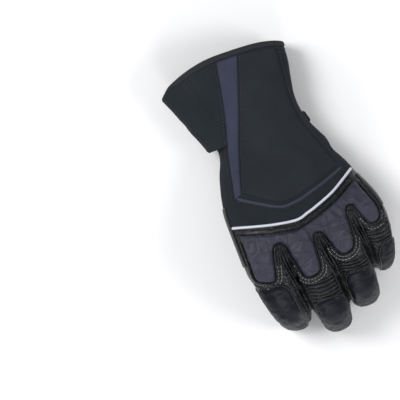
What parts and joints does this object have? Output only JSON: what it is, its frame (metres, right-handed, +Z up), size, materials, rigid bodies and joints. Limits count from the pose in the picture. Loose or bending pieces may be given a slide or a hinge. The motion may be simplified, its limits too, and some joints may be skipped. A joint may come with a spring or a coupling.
{
  "type": "ski glove",
  "caption": "Padded leather and softshell ski glove for the left hand, with a wide gauntlet cuff and curled fingers, lying palm down.",
  "frame": {"origin": "bottom centre of the glove's bounding box, on the surface that it lies on", "axes": "+Y along the glove to the fingertips, +X towards the thumb side, +Z up, out of the back of the hand"},
  "size_m": [0.1586, 0.2704, 0.0835],
  "materials": {
    "black_leather": "soft grained goatskin, satin",
    "navy_leather": "smooth padded leather, satin",
    "charcoal_cloth": "matte woven softshell",
    "navy_cloth": "matte woven softshell",
    "reflective_piping": "smooth light-grey reflective cord",
    "strap_cloth": "matte neoprene laminate",
    "binding_cloth": "folded knit binding",
    "black_plastic": "moulded, satin"
  },
  "bodies": {
    "root": {"gauntlet": "charcoal_cloth", "cuff_binding": "binding_cloth", "cuff_stripe": "navy_cloth", "cuff_back_panel": "charcoal_cloth", "panel_trim": "navy_cloth", "piping": "reflective_piping", "seam_band": "black_leather", "hand_shell": "black_leather", "knuckle_pad": "navy_leather", "gusset_1": "black_leather", "gusset_2": "black_leather", "gusset_3": "black_leather", "index_stall": "black_leather", "middle_stall": "black_leather", "ring_stall": "black_leather", "little_stall": "black_leather", "thumb_stall": "black_leather", "index_panel": "navy_leather", "middle_cap": "navy_leather", "ring_cap": "navy_leather", "little_cap": "navy_leather", "little_side_strip": "black_leather", "thumb_side_strip": "black_leather", "wrist_strap": "strap_cloth", "glove_clip": "black_plastic", "clip_tab": "charcoal_cloth"}
  },
  "joints": []
}
